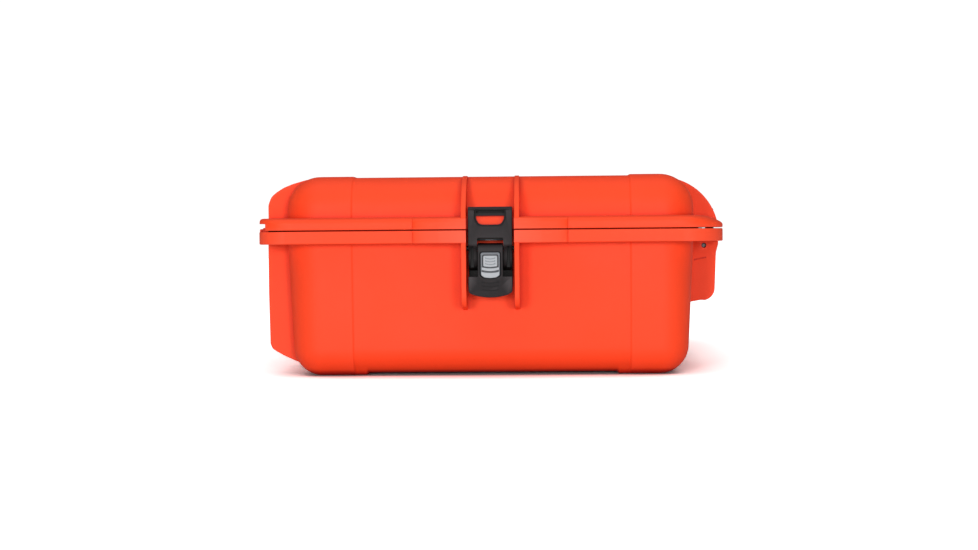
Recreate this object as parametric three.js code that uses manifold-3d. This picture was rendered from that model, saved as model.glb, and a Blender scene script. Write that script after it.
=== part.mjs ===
// Hard equipment case: moulded base and lid, four draw latches, a folding handle, three hinges.
// Millimetres, +Z up. The shells are drawn about their own centre line; the front, with the
// handle and two of the latches, faces +X, the hinges face -X and the latched ends face -Y and +Y.
import * as THREE from "three";
import { mergeVertices } from "three/addons/utils/BufferGeometryUtils.js";
import Module from "manifold-3d";

const wasm = await Module();
wasm.setup();

// ---- driving dimensions -------------------------------------------------------------------
const RIM_X = 249.5; // half width over the rims
const RIM_Y = 312.5; // half length over the rims
const WALL_X = 222.5; // half width over the side walls at the rim
const WALL_Y = 282.5; // half length over the end walls at the rim
const BODY_X = -2; // the walls' centre: the rims stand out further at the front
const HEIGHT = 218; // floor to the lid's corner pads
const WALL = 3.5; // moulded wall thickness
const DRAFT = 0.047; // wall lean, mm sideways for each mm of height
const BODY_CORNER = 38; // plan radius of the shells' upright corners
const PAD_STEP = 1.3; // how far the corner pads stand proud of the sides and the lid's top
const FOOT_HEIGHT = 2.6; // how far the feet stand below the floor of the base
const SKIN = PAD_STEP + WALL; // from the pads' faces to the inside
const PAD_X = 150; // where the corner pads begin on the ends
const PAD_Y = 212; // and on the long sides
const FOOT_X = 137; // where the feet begin, a little inside the pads
const FOOT_Y = 199;
const FOOT_TOP = 4;
const BOTTOM_ROUND = 32;
const TOP_ROUND = 37;

const FRONT_CORNER = 48; // plan radius of the rims at the front
const HINGE_CORNER = 33; // and at the hinge side
const BUMP = 7.6; // how far the rims swell out beside a latch
const BUMP_FLAT = 52.8;
const BUMP_END = 82.3;
const BASE_RIM_LOW = 144.5;
const BASE_RIM_TOP = 157.8;
const BASE_LAND_TOP = 158.5;
const LID_LAND_LOW = 158.8;
const LID_RIM_LOW = 159.5;
const LID_RIM_TOP = 172.4;
const LAND = 9; // width of the faces that meet, outside the wall
const PLATE = 4.3; // thickness of the rims' plates and edges
const TONGUE = [2, 5]; // the base's sealing tongue, measured out from the wall
const TONGUE_TOP = 162.5;
const GROOVE = [1, 6]; // the lid's gasket groove
const GROOVE_TOP = 168;
const GAP = 0.3;

const LATCH_Y = 140; // the front latches stand this far to each side
const BAY = 25.4; // half the clear width between a latch's two ribs
const RIB = 5.4;
const BAY_FACE = 26; // front face of the lid's rim behind a claw
const BASE_BAY_FACE = 8; // the base's rim is cut back to here behind a latch
const LATCH_X = 219.5; // plane that the front latches' u is measured from
const PIVOT = { u: 20, z: 138.8, r: 2.5 }; // lever pin: u is out from the wall
const CLAW_PIVOT = { u: 18, z: 120, r: 2 };
const LATCH_HALF = 23.3; // half width of a latch
const TONGUE_HALF = 13.3; // half width of the lever between the claw's arms
const LATCH_FACE = 33.2;
const LATCH_PIN_HALF = 27.2;
const CLAW_PIN_HALF = 22.9;
const LEVER_BACK = [9, 12]; // the lever is a tub: its back wall, and below its floor
const LEVER_FLOOR = [98, 101];
const SPRING = { u: [22.5, 23.7], half: 5.7, z: [147.2, 148.6] };

const HINGE = { x: -244, z: 158.6, r: 5, pin: 2.2, bead: 4, beadHalf: 278 };
const HINGE_Y = [-190, 0, 190];
const HINGE_HALF = 42; // the ribs' centres, to each side of a hinge
const KNUCKLE = 15; // half length of the lid's knuckle
const HANDLE = { u: 16, z: 136, r: 7, pin: 3, drop: 44 };
const HANDLE_ARM = [62.7, 78.3];
const BRACKET_INNER = [57, 62.2];
const BRACKET_OUTER = [78.8, 84];
const GRIP = { u: 20, half: 56 };
const VALVE = { z: 52, face: -3.2, stem: 7 };
const LIP_X = -248; // the lid's lip over the hinges reaches this far back
const LIP_LOW = 166.6;
const UPSTAND = { x: -247.2, top: 161.2 }; // low wall along the base's back edge
const SLIDE = { half: 10.3, low: 107.1, top: 134.7, back: 28.7, step: 31.2, travel: 4 };
const EYELET = { y: 240, u: 16, inner: 4, outer: 6, head: 7.5, seat: 166.4 };

// ---- materials ----------------------------------------------------------------------------
const finish = {
  shell: { color: 0xfb5536, roughness: 0.62, metalness: 0 },
  black: { color: 0x2b2829, roughness: 0.5, metalness: 0 },
  silver: { color: 0xb4babf, roughness: 0.38, metalness: 0.35 },
  steel: { color: 0xa9acae, roughness: 0.3, metalness: 1 },
  rubber: { color: 0x1c1c1d, roughness: 0.85, metalness: 0 },
};

// ---- solids -------------------------------------------------------------------------------
function solid(geometry) {
  const bare = geometry.clone();
  bare.deleteAttribute("normal");
  bare.deleteAttribute("uv");
  const merged = mergeVertices(bare, 1e-4);
  return new wasm.Manifold(
    new wasm.Mesh({
      numProp: 3,
      vertProperties: new Float32Array(merged.attributes.position.array),
      triVerts: new Uint32Array(merged.index.array),
    }),
  );
}

const join = (...pieces) => pieces.flat().reduce((all, piece) => all.add(piece));
const cut = (body, ...tools) => tools.flat().reduce((left, tool) => left.subtract(tool), body);

function geometryOf(manifold) {
  const mesh = manifold.getMesh();
  const geometry = new THREE.BufferGeometry();
  geometry.setAttribute("position", new THREE.BufferAttribute(mesh.vertProperties, 3));
  geometry.setIndex(new THREE.BufferAttribute(mesh.triVerts, 1));
  geometry.computeVertexNormals();
  return geometry;
}

// A box between two corners.
function box([x0, x1], [y0, y1], [z0, z1]) {
  const geometry = new THREE.BoxGeometry(x1 - x0, y1 - y0, z1 - z0);
  return solid(geometry.translate((x0 + x1) / 2, (y0 + y1) / 2, (z0 + z1) / 2));
}

// A flat outline raised from one height to another.
function slab(points, z0, z1) {
  const geometry = new THREE.ExtrudeGeometry(new THREE.Shape(points), {
    depth: z1 - z0,
    bevelEnabled: false,
  });
  return solid(geometry.translate(0, 0, z0));
}

// A side outline, u out from the wall and z up, running across from y0 to y1.
function plate(points, y0, y1) {
  const geometry = new THREE.ExtrudeGeometry(new THREE.Shape(points), {
    depth: y1 - y0,
    bevelEnabled: false,
  });
  return solid(geometry.rotateX(Math.PI / 2).translate(0, y1, 0));
}

// A round bar along Y through (u, z).
function bar(r, u, z, y0, y1, sides = 16) {
  const geometry = new THREE.CylinderGeometry(r, r, y1 - y0, sides);
  return solid(geometry.translate(u, (y0 + y1) / 2, z));
}

// A turned piece about Z.
function turned(profile, sides = 20) {
  const points = at(profile);
  return solid(new THREE.LatheGeometry([...points, points[0]], sides).rotateX(Math.PI / 2));
}

// A round post from one height to another.
const post = (r, x, y, z0, z1) => bar(r, 0, 0, z0, z1).rotate([90, 0, 0]).translate([x, y, 0]);

// A rod along X at a height, with any number of sides.
function rod(r, x0, x1, z, sides = 16) {
  const geometry = new THREE.CylinderGeometry(r, r, x1 - x0, sides).rotateZ(-Math.PI / 2);
  return solid(geometry.translate((x0 + x1) / 2, 0, z));
}

// An outline seen from the front, across and up, running out from u0 to u1.
function facing(points, u0, u1) {
  const geometry = new THREE.ExtrudeGeometry(new THREE.Shape(at(points)), {
    depth: u1 - u0,
    bevelEnabled: false,
  });
  const [across, up, out] = [[0, 1, 0], [0, 0, 1], [1, 0, 0]].map((v) => new THREE.Vector3(...v));
  geometry.applyMatrix4(new THREE.Matrix4().makeBasis(across, up, out));
  return solid(geometry.translate(u0, 0, 0));
}

const at = (points) => points.map(([a, b]) => new THREE.Vector2(a, b));

function arc(cu, cz, r, from, to, steps) {
  return Array.from({ length: steps + 1 }, (_, i) => {
    const angle = THREE.MathUtils.degToRad(from + ((to - from) * i) / steps);
    return new THREE.Vector2(cu + r * Math.cos(angle), cz + r * Math.sin(angle));
  });
}

// Skin over matching rings, closed by a fan at each end.
function loft(rings) {
  const count = rings[0].points.length;
  const positions = rings.flatMap(({ points, z }) => points.flatMap((p) => [p.x, p.y, z]));
  positions.push(0, 0, rings[0].z, 0, 0, rings.at(-1).z);
  const low = rings.length * count;
  const last = (rings.length - 1) * count;
  const faces = [];
  for (let i = 0; i < count; i++) {
    const next = (i + 1) % count;
    for (let ring = 0; ring < rings.length - 1; ring++) {
      const a = ring * count;
      const b = a + count;
      faces.push(a + i, a + next, b + next, a + i, b + next, b + i);
    }
    faces.push(low, next, i, low + 1, last + i, last + next);
  }
  const geometry = new THREE.BufferGeometry();
  geometry.setAttribute("position", new THREE.Float32BufferAttribute(positions, 3));
  geometry.setIndex(faces);
  return solid(geometry);
}

function roundedRectangle(halfX, halfY, radius, steps = 4) {
  const corners = [
    [1, 1, 0],
    [-1, 1, 90],
    [-1, -1, 180],
    [1, -1, 270],
  ];
  return corners.flatMap(([sx, sy, start]) =>
    arc(sx * (halfX - radius), sy * (halfY - radius), radius, start, start + 90, steps),
  );
}

// ---- shell outlines -----------------------------------------------------------------------
// The wall's outline at the rim, moved out by a distance.
function wallOutline(out, radius) {
  const points = roundedRectangle(WALL_X + out, WALL_Y + out, radius);
  return points.map((point) => point.add(new THREE.Vector2(BODY_X, 0)));
}

// One ring of a shell's wall, drawn in from the rim's walls by an inset.
function wallRing(z, inset) {
  const radius = Math.max(BODY_CORNER - inset, 3);
  return { z, points: wallOutline(-inset, radius) };
}

// The base's body, drawn in by a skin thickness, from a floor height up to a top.
function baseBody(skin, floor, top = BASE_LAND_TOP) {
  const round = BOTTOM_ROUND - skin;
  const low = (BASE_RIM_TOP - floor - round) * DRAFT + skin;
  const rings = [0, 30, 60, 90].map((degrees) => {
    const angle = THREE.MathUtils.degToRad(degrees);
    return wallRing(floor + round * (1 - Math.sin(angle)), low + round * (1 - Math.cos(angle)));
  });
  return loft([...rings.reverse(), wallRing(top, skin)]);
}

// The lid's body, drawn in by a skin thickness, from a top height down to its foot.
function lidBody(skin, top, foot = LID_LAND_LOW) {
  const round = TOP_ROUND - skin;
  const high = (top - round - LID_RIM_TOP) * DRAFT + skin;
  const rings = [0, 30, 60, 90].map((degrees) => {
    const angle = THREE.MathUtils.degToRad(degrees);
    return wallRing(top - round * (1 - Math.sin(angle)), high + round * (1 - Math.cos(angle)));
  });
  return loft([wallRing(foot, skin), ...rings]);
}

// Boxes over the four corners, beyond a distance along each axis.
function cornerBoxes(x, y, heights) {
  const corner = box([x, 400], [y, 400], heights);
  return bothSides(corner).flatMap((piece) => [piece, piece.mirror([1, 0, 0])]);
}

// Swelling of the rim's edge at a distance along it from a latch.
function swell(distance) {
  const t = THREE.MathUtils.clamp((Math.abs(distance) - BUMP_FLAT) / (BUMP_END - BUMP_FLAT), 0, 1);
  return BUMP * Math.sqrt(1 - t * t);
}

// Half of a swelling, from its end to its flat, as distances from the latch.
const SWELL_STEPS = [1, 0.95, 0.8, 0.45, 0].map((t) => BUMP_FLAT + t * (BUMP_END - BUMP_FLAT));

// The rim's edge seen from above, drawn in by insets that can differ at the front and the back.
function rimOutline(inset, frontInset = inset, backInset = inset) {
  const x = RIM_X - backInset;
  const y = RIM_Y - inset;
  const front = RIM_X - frontInset;
  const round = { x: FRONT_CORNER - frontInset, y: FRONT_CORNER - inset };
  const back = HINGE_CORNER - inset;
  const bumpAlong = [...SWELL_STEPS.map((d) => -d), ...SWELL_STEPS.toReversed()];
  const onFront = [-LATCH_Y, LATCH_Y].flatMap((c) => bumpAlong.map((d) => [front + swell(d), c + d]));
  const onFar = bumpAlong.map((d) => [-d, y + swell(d)]);
  const corner = arc(0, 0, 1, 0, 90, 4).map((p) => [
    front - round.x + p.x * round.x,
    y - round.y + p.y * round.y,
  ]);
  return [
    ...at(onFront),
    ...at(corner),
    ...at(onFar),
    ...arc(-x + back, y - back, back, 90, 180, 4),
    ...arc(-x + back, -y + back, back, 180, 270, 4),
    ...at(onFar.map(([a, b]) => [-a, -b])),
    ...at(corner.map(([a, b]) => [a, -b]).reverse()),
  ];
}

// A band round the wall at the rim, from one distance out to another.
function wallBand(from, to, z0, z1) {
  const outline = (d) => wallOutline(d, BODY_CORNER + d);
  return slab(outline(to), z0, z1).subtract(slab(outline(from), z0 - 1, z1 + 1));
}

// ---- repeated places ----------------------------------------------------------------------
const latchPlaces = [
  { name: "front_left", x: LATCH_X, y: -LATCH_Y, turn: 0 },
  { name: "front_right", x: LATCH_X, y: LATCH_Y, turn: 0 },
  { name: "near_end", x: 0, y: -WALL_Y, turn: -90 },
  { name: "far_end", x: 0, y: WALL_Y, turn: 90 },
];
const place = (piece, { x, y, turn }) => piece.rotate([0, 0, turn]).translate([x, y, 0]);
const atLatches = (piece) => latchPlaces.map((spot) => place(piece, spot));
const bothSides = (piece) => [piece, piece.mirror([0, 1, 0])];

// ---- latch ribs ---------------------------------------------------------------------------
function lidLatchRib() {
  const crown = arc(-29.3, 150.9, 66.4, 110, 7.3, 9);
  return plate([...crown, ...at([[2, LID_RIM_LOW], [-40, 200]])], BAY, BAY + RIB);
}

function baseLatchRib() {
  const outline = [
    ...at([[-6, 152], [-8, 70], [-4, 73], [16, 76.5]]),
    ...arc(18.2, 90, 14, -80, 0, 4),
    ...at([[33.8, 131], [36.3, 140], [36.3, BASE_RIM_TOP], [2, BASE_RIM_TOP]]),
  ];
  return cut(plate(outline, BAY, BAY + RIB), bar(PIVOT.r + GAP, PIVOT.u, PIVOT.z, BAY - 1, 40));
}

// ---- hinge ribs and knuckles --------------------------------------------------------------
function baseHingeRibs() {
  const outline = at([[-200, 150], [-248, 150], [-248, 90], [-247, 34], [-244.6, 28.5], [-239, 25],
    [-231, 20.5], [-221, 16], [-205, 9], [-195, 12]]);
  return hingeEdges((y) => plate(outline, y - RIB / 2, y + RIB / 2));
}

function lidHingeRibs() {
  const outline = at([[-190, 216.8], [-204.5, 215.4], [-220, 211], [-230, 207], [-238, 202],
    [-244, 197], [-247.5, 188], [-247.5, 168], [-210, 168], [-180, 208]]);
  return hingeEdges((y) => plate(outline, y - RIB / 2, y + RIB / 2));
}

const hingeEdges = (make) => HINGE_Y.flatMap((c) => [make(c - HINGE_HALF), make(c + HINGE_HALF)]);

function baseKnuckles() {
  const inner = KNUCKLE + GAP;
  const outer = HINGE_HALF - RIB / 2;
  return HINGE_Y.flatMap((c) => [
    bar(HINGE.r, HINGE.x, HINGE.z, c - outer, c - inner),
    bar(HINGE.r, HINGE.x, HINGE.z, c + inner, c + outer),
  ]);
}

function lidKnuckles() {
  const span = (c) => [c - KNUCKLE, c + KNUCKLE];
  return HINGE_Y.flatMap((c) => [
    bar(HINGE.r, HINGE.x, HINGE.z, ...span(c)),
    box([HINGE.x - 3, HINGE.x + 5], span(c), [HINGE.z + 1, LID_RIM_TOP - 3]),
  ]);
}

// A bead along the hinge line and a low wall behind it, under the lid's lip.
function hingeTrough() {
  const back = HINGE_CORNER - RIM_Y;
  return [
    bar(HINGE.bead, HINGE.x, HINGE.z, -HINGE.beadHalf, HINGE.beadHalf),
    box([-RIM_X, UPSTAND.x], [back, -back], [BASE_RIM_TOP - PLATE, UPSTAND.top]),
  ];
}

const hingeBores = HINGE_Y.map((c) => bar(HINGE.pin + GAP, HINGE.x, HINGE.z, c - 36.5, c + 36.5));

// ---- base shell ---------------------------------------------------------------------------
function handleBracket([y0, y1]) {
  const outline = [
    ...at([[-8, 150], [-8, 112], [-3, 112]]),
    ...arc(HANDLE.u, HANDLE.z, HANDLE.r + 1, -60, 0, 3),
    ...at([[HANDLE.u + HANDLE.r + 1, 150]]),
  ];
  return cut(plate(outline, y0, y1), bar(HANDLE.pin + GAP, HANDLE.u, HANDLE.z, y0 - 1, y1 + 1));
}

const eyeletPlaces = [-EYELET.y, EYELET.y].map((y) => ({ x: LATCH_X + EYELET.u, y }));
const eyeletPosts = (r, z0 = 140) => eyeletPlaces.map(({ x, y }) => post(r, x, y, z0, 180));

function baseShell() {
  const pads = join(
    cornerBoxes(PAD_X, PAD_Y, [-1, 400]),
    cornerBoxes(FOOT_X, FOOT_Y, [-1, FOOT_TOP]),
  );
  const edge = slab(rimOutline(0), BASE_RIM_LOW, BASE_RIM_TOP - 1);
  const brackets = [BRACKET_INNER, BRACKET_OUTER].map(handleBracket).flatMap(bothSides);
  const outside = join([
    baseBody(PAD_STEP, FOOT_HEIGHT),
    baseBody(0, 0).intersect(pads),
    slab(rimOutline(0), BASE_RIM_TOP - PLATE, BASE_RIM_TOP),
    edge.subtract(slab(rimOutline(PLATE), BASE_RIM_LOW - 1, BASE_RIM_TOP)),
    wallBand(-SKIN, LAND, BASE_RIM_TOP - 1, BASE_LAND_TOP),
    wallBand(...TONGUE, BASE_RIM_TOP - 1, TONGUE_TOP),
    bothSides(baseLatchRib()).flatMap(atLatches),
    baseHingeRibs(),
    baseKnuckles(),
    hingeTrough(),
    brackets.map((bracket) => bracket.translate([LATCH_X, 0, 0])),
    rod(13, LATCH_X - 20, LATCH_X + VALVE.face, VALVE.z),
  ].flat());
  const knuckleRoom = HINGE_Y.map((c) =>
    box([-260, HINGE.x + 6.5], [c - KNUCKLE - GAP, c + KNUCKLE + GAP], [149.5, 170]),
  );
  return cut(
    outside,
    baseBody(SKIN, FOOT_HEIGHT + WALL, 170),
    atLatches(box([BASE_BAY_FACE, 60], [-BAY, BAY], [BASE_RIM_LOW - 1, BASE_LAND_TOP])),
    knuckleRoom,
    hingeBores,
    eyeletPosts(EYELET.outer + GAP),
    rod(VALVE.stem + GAP, LATCH_X - 30, LATCH_X + 5, VALVE.z),
  );
}

// ---- lid shell ----------------------------------------------------------------------------
// The rim's top is rounded off towards its edge, most of all at the front. Each ring has its
// height, and how far in it lies at the ends, at the front and at the back.
const LID_RIM_ROUND = [[LID_RIM_LOW, 0, 0, 0], [162.6, 0, 0, 0], [165.6, 0, 3, 0], [168, 0.5, 8, 0.1],
  [170.3, 2.2, 14, 0.7], [171.7, 6, 20, 1.8], [LID_RIM_TOP, 14, 28, 4]];

function lidShell() {
  const rim = loft(LID_RIM_ROUND.map(([z, ...insets]) => ({ z, points: rimOutline(...insets) })));
  const bayPad = box([-1, BAY_FACE], [-BAY - 1, BAY + 1], [LID_RIM_LOW, LID_RIM_TOP]);
  const outside = join([
    lidBody(PAD_STEP, HEIGHT - PAD_STEP),
    lidBody(0, HEIGHT).intersect(join(cornerBoxes(PAD_X, PAD_Y, [100, 400]))),
    rim,
    wallBand(-SKIN, LAND, LID_LAND_LOW, LID_RIM_LOW + 1),
    atLatches(bayPad),
    bothSides(lidLatchRib()).flatMap(atLatches),
    lidHingeRibs(),
  ].flat());
  const solidParts = join([
    atLatches(box([0, 60], [-BAY - RIB, BAY + RIB], [150, 180])),
    box([-300, HINGE.x + 9], [-400, 400], [150, 180]),
    eyeletPosts(EYELET.outer + WALL),
  ].flat());
  const wallBlock = slab(wallOutline(LAND + 1, BODY_CORNER), 100, 200);
  const channel = slab(rimOutline(PLATE, 9), LID_RIM_LOW - 2, LID_RIM_TOP - 6);
  const bareEdge = cut(
    outside,
    lidBody(SKIN, HEIGHT - PAD_STEP - WALL, 150),
    wallBand(...GROOVE, 150, GROOVE_TOP),
    cut(channel, wallBlock, solidParts),
    atLatches(box([BAY_FACE, 60], [-BAY, BAY], [150, LID_RIM_TOP + 1])),
    box([-300, HINGE.x + 4.3], [-400, 400], [150, LIP_LOW]),
    box([-300, LIP_X], [-400, 400], [150, 300]),
    eyeletPosts(EYELET.outer + GAP),
    eyeletPosts(EYELET.head + 2 * GAP, EYELET.seat),
    HINGE_Y.map((c) => bar(HINGE.r + 2 * GAP, HINGE.x, HINGE.z, c - HINGE_HALF, c + HINGE_HALF)),
  );
  return cut(join([bareEdge, lidKnuckles()].flat()), hingeBores);
}

const lidGasket = () => wallBand(GROOVE[0] + GAP, GROOVE[1] - GAP, TONGUE_TOP + GAP, GROOVE_TOP - GAP);

// ---- latch --------------------------------------------------------------------------------
function claw() {
  const outline = [
    ...at([[14, 173.2], [27, 173.2], [27, 147], [24.6, 142], [23.7, 136], [23.5, 127]]),
    ...arc(CLAW_PIVOT.u, CLAW_PIVOT.z, 4.4, 60, 270, 7),
    ...at([[23, 116.6], [26.3, 121], [27.3, 128], [28.1, 135.6], [32, 141], [32, 178.4]]),
    ...at([[30.6, 181.6], [28.4, 182.7], [17, 182.7], [14.6, 181.4]]),
  ];
  const window = facing([[-15, 173.2], [-14.2, 168.5], [-11.8, 165.2], [-8.5, 163.9],
    [8.5, 163.9], [11.8, 165.2], [14.2, 168.5], [15, 173.2]], 26.5, 45);
  const recess = facing([[-16.8, 180.2], [-16.8, 169], [-14.5, 164.2], [-10, 162.2], [10, 162.2],
    [14.5, 164.2], [16.8, 169], [16.8, 180.2]], 29.8, 45);
  const forked = cut(
    plate(outline, -LATCH_HALF, LATCH_HALF),
    window,
    recess,
    box([21, 45], [-15.2, 15.2], [175.8, 179]),
    box([0, 60], [-TONGUE_HALF - 0.5, TONGUE_HALF + 0.5], [100, 150]),
    bar(CLAW_PIVOT.r + GAP, CLAW_PIVOT.u, CLAW_PIVOT.z, -40, 40),
  );
  const [springBack, springFoot] = [SPRING.u[0], SPRING.z[0]];
  return join(
    forked,
    box([springBack - 4, 27.5], [-LATCH_HALF, LATCH_HALF], [150.5, 154]),
    box([springBack - 4, springBack], [-TONGUE_HALF - 1.2, TONGUE_HALF + 1.2], [springFoot, 151]),
  );
}

function lever() {
  const tongue = [
    ...arc(PIVOT.u, PIVOT.z, 5.6, 205, 75, 6),
    ...at([[27, 144], [31.5, 142.4], [33.2, 139.5], [33.2, 100], [27.5, 98], [25.5, 110]]),
    ...arc(CLAW_PIVOT.u, CLAW_PIVOT.z, 4.4, -60, -190, 6),
  ];
  const tip = arc(0, 149.5, 62.5, -110.5, -69.5, 6);
  const across = [-LATCH_HALF, LATCH_HALF];
  const paddle = [[-LATCH_HALF, 93.5], ...tip.map((p) => [p.x, p.y]), [LATCH_HALF, 93.5],
    [LATCH_HALF, 109.4], [-LATCH_HALF, 109.4]];
  return cut(
    join(
      plate(tongue, -TONGUE_HALF, TONGUE_HALF),
      facing(paddle, LATCH_FACE - 5.2, LATCH_FACE),
      box(LEVER_BACK, across, [LEVER_FLOOR[0], 136]),
      box([LEVER_BACK[0], LATCH_FACE - 5], across, LEVER_FLOOR),
      box([LEVER_BACK[1] - 1, 15], [-12, 12], [104, 132]),
    ),
    box([SLIDE.back - GAP, 50], [-SLIDE.half - GAP, SLIDE.half + GAP], [SLIDE.low - GAP, SLIDE.top + GAP]),
    box([SLIDE.back - GAP, SLIDE.step + GAP], [-SLIDE.half - GAP, SLIDE.half + GAP],
      [SLIDE.low, SLIDE.top + SLIDE.travel + GAP]),
    bar(PIVOT.r + GAP, PIVOT.u, PIVOT.z, -40, 40),
    bar(CLAW_PIVOT.r + GAP, CLAW_PIVOT.u, CLAW_PIVOT.z, -40, 40),
  );
}

function slideLock() {
  const across = [-SLIDE.half, SLIDE.half];
  return cut(
    box([SLIDE.back, LATCH_FACE], across, [SLIDE.low, SLIDE.top]),
    box([SLIDE.step, 50], [-20, 20], [SLIDE.top - SLIDE.travel, 150]),
  );
}

// The steel spring that the claw carries over the lever's hub, which shows as a bright line.
const latchSpring = () => box(SPRING.u, [-SPRING.half, SPRING.half], SPRING.z);

// ---- handle -------------------------------------------------------------------------------
function handleFrame() {
  const { u, z, r } = HANDLE;
  const low = z - HANDLE.drop;
  const arm = [...arc(u, z, r, 0, 180, 6), ...at([[11, low + 12], [13, low - 8], [16, low - 10],
    [24, low - 10], [27, low - 8], [27, low + 8], [24, low + 16]])];
  const crossbar = box([GRIP.u - 6, GRIP.u + 6], [-70, 70], [low - 6, low + 6]);
  const arms = bothSides(plate(arm, ...HANDLE_ARM));
  const bores = [-1, 1].map((s) => bar(HANDLE.pin + GAP, u, z, s * 70 - 20, s * 70 + 20));
  return cut(join([crossbar, ...arms]), bores);
}

function handleGrip() {
  const centre = HANDLE.z - HANDLE.drop;
  const outline = (halfU, halfZ, r) =>
    roundedRectangle(halfU, halfZ, r, 3).map((p) => p.add(new THREE.Vector2(GRIP.u, centre)));
  const sleeve = plate(outline(10, 11, 7), -GRIP.half, GRIP.half);
  return sleeve.subtract(plate(outline(6 + GAP, 6 + GAP, 0.01), -GRIP.half - 1, GRIP.half + 1));
}

// ---- small fittings -----------------------------------------------------------------------
function valveBody() {
  return join(
    rod(VALVE.stem, VALVE.face - 18, 0.5, VALVE.z, 16),
    rod(11, VALVE.face + 2.4, 1.6, VALVE.z, 20),
    rod(8, 0, 5, VALVE.z, 6),
  );
}

function fittings() {
  const { inner, outer, head, seat } = EYELET;
  const lidEyelet = [[inner, 159.2], [outer, 159.2], [outer, seat + GAP], [head, seat + GAP],
    [head, seat + 1.1], [inner, seat + 1.1]];
  const baseEyelet = [[inner, 152.3], [head, 152.3], [head, 153.2], [outer, 153.2],
    [outer, 158.2], [inner, 158.2]];
  return eyeletPlaces.flatMap(({ x, y }, i) => {
    const side = i ? "right" : "left";
    return [
      [`lid_padlock_eyelet_${side}`, turned(lidEyelet).translate([x, y, 0]), finish.steel],
      [`base_padlock_eyelet_${side}`, turned(baseEyelet).translate([x, y, 0]), finish.steel],
    ];
  });
}

// ---- the case -----------------------------------------------------------------------------
const group = new THREE.Group();

function add(name, manifold, look, { x = 0, y = 0, turn = 0 } = {}) {
  const mesh = new THREE.Mesh(geometryOf(manifold), new THREE.MeshStandardMaterial(look));
  mesh.name = name;
  mesh.position.set(x, y, 0);
  mesh.rotation.z = THREE.MathUtils.degToRad(turn);
  group.add(mesh);
}

add("base_shell", baseShell(), finish.shell);
add("lid_shell", lidShell(), finish.shell);
add("lid_gasket", lidGasket(), finish.rubber);
HINGE_Y.forEach((c, i) =>
  add(`hinge_pin_${i + 1}`, bar(HINGE.pin, HINGE.x, HINGE.z, c - 36, c + 36, 12), finish.steel),
);
for (const spot of latchPlaces) {
  add(`lever_${spot.name}`, lever(), finish.black, spot);
  add(`claw_${spot.name}`, claw(), finish.black, spot);
  add(`slide_lock_${spot.name}`, slideLock(), finish.silver, spot);
  add(`latch_spring_${spot.name}`, latchSpring(), finish.steel, spot);
  const pin = ({ r, u, z }, half) => bar(r, u, z, -half, half, 12);
  add(`lever_pin_${spot.name}`, pin(PIVOT, LATCH_PIN_HALF), finish.steel, spot);
  add(`claw_pin_${spot.name}`, pin(CLAW_PIVOT, CLAW_PIN_HALF), finish.steel, spot);
}
const front = { x: LATCH_X };
add("handle_frame", handleFrame(), finish.black, front);
add("handle_grip", handleGrip(), finish.rubber, front);
[-1, 1].forEach((side) => {
  const ends = [BRACKET_INNER[0] + GAP, BRACKET_OUTER[1] - GAP].map((y) => y * side);
  const pin = bar(HANDLE.pin, HANDLE.u, HANDLE.z, Math.min(...ends), Math.max(...ends), 12);
  add(`handle_pin_${side < 0 ? "left" : "right"}`, pin, finish.steel, front);
});
add("valve_body", valveBody(), finish.black, front);
add("valve_nut", rod(11, VALVE.face - 14, VALVE.face - 7.6, VALVE.z, 6)
  .subtract(rod(VALVE.stem + GAP, -40, 40, VALVE.z)), finish.black, front);
add("valve_seal", rod(10, VALVE.face + GAP, VALVE.face + 2.1, VALVE.z, 20)
  .subtract(rod(VALVE.stem + GAP, -40, 40, VALVE.z)), finish.rubber, front);
fittings().forEach(([name, manifold, look]) => add(name, manifold, look));

// Centre the whole case over the origin: at the front the rims swell out beside the latches.
group.position.x = -BUMP / 2;
group.updateMatrixWorld(true);

export default group;
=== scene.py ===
"""Hard equipment case: the finished look of every part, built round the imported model.

Shapes are drawn in millimetres about the shells' centre line and turned into metres when a
mesh is made. The front, with the handle and two latches, faces +X and the hinges face -X.
"""
import math

import bmesh
import bpy
from mathutils import Matrix, Vector

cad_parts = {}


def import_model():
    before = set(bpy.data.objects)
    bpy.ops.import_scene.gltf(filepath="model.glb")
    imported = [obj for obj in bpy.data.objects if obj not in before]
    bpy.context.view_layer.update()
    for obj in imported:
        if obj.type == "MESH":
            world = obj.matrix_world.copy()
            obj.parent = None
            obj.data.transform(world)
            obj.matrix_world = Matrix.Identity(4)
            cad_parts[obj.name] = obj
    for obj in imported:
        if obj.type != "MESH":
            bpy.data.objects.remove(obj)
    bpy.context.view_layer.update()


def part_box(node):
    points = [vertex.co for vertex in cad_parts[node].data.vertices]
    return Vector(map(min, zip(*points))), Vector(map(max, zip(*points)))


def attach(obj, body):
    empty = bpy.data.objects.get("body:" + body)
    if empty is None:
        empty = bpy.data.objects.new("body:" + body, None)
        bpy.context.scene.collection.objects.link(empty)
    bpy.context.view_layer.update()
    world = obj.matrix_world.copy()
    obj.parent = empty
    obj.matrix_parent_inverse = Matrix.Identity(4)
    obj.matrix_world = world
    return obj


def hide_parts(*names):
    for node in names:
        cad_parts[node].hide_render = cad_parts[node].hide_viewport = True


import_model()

MM = 0.001
scene = bpy.context.scene

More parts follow.
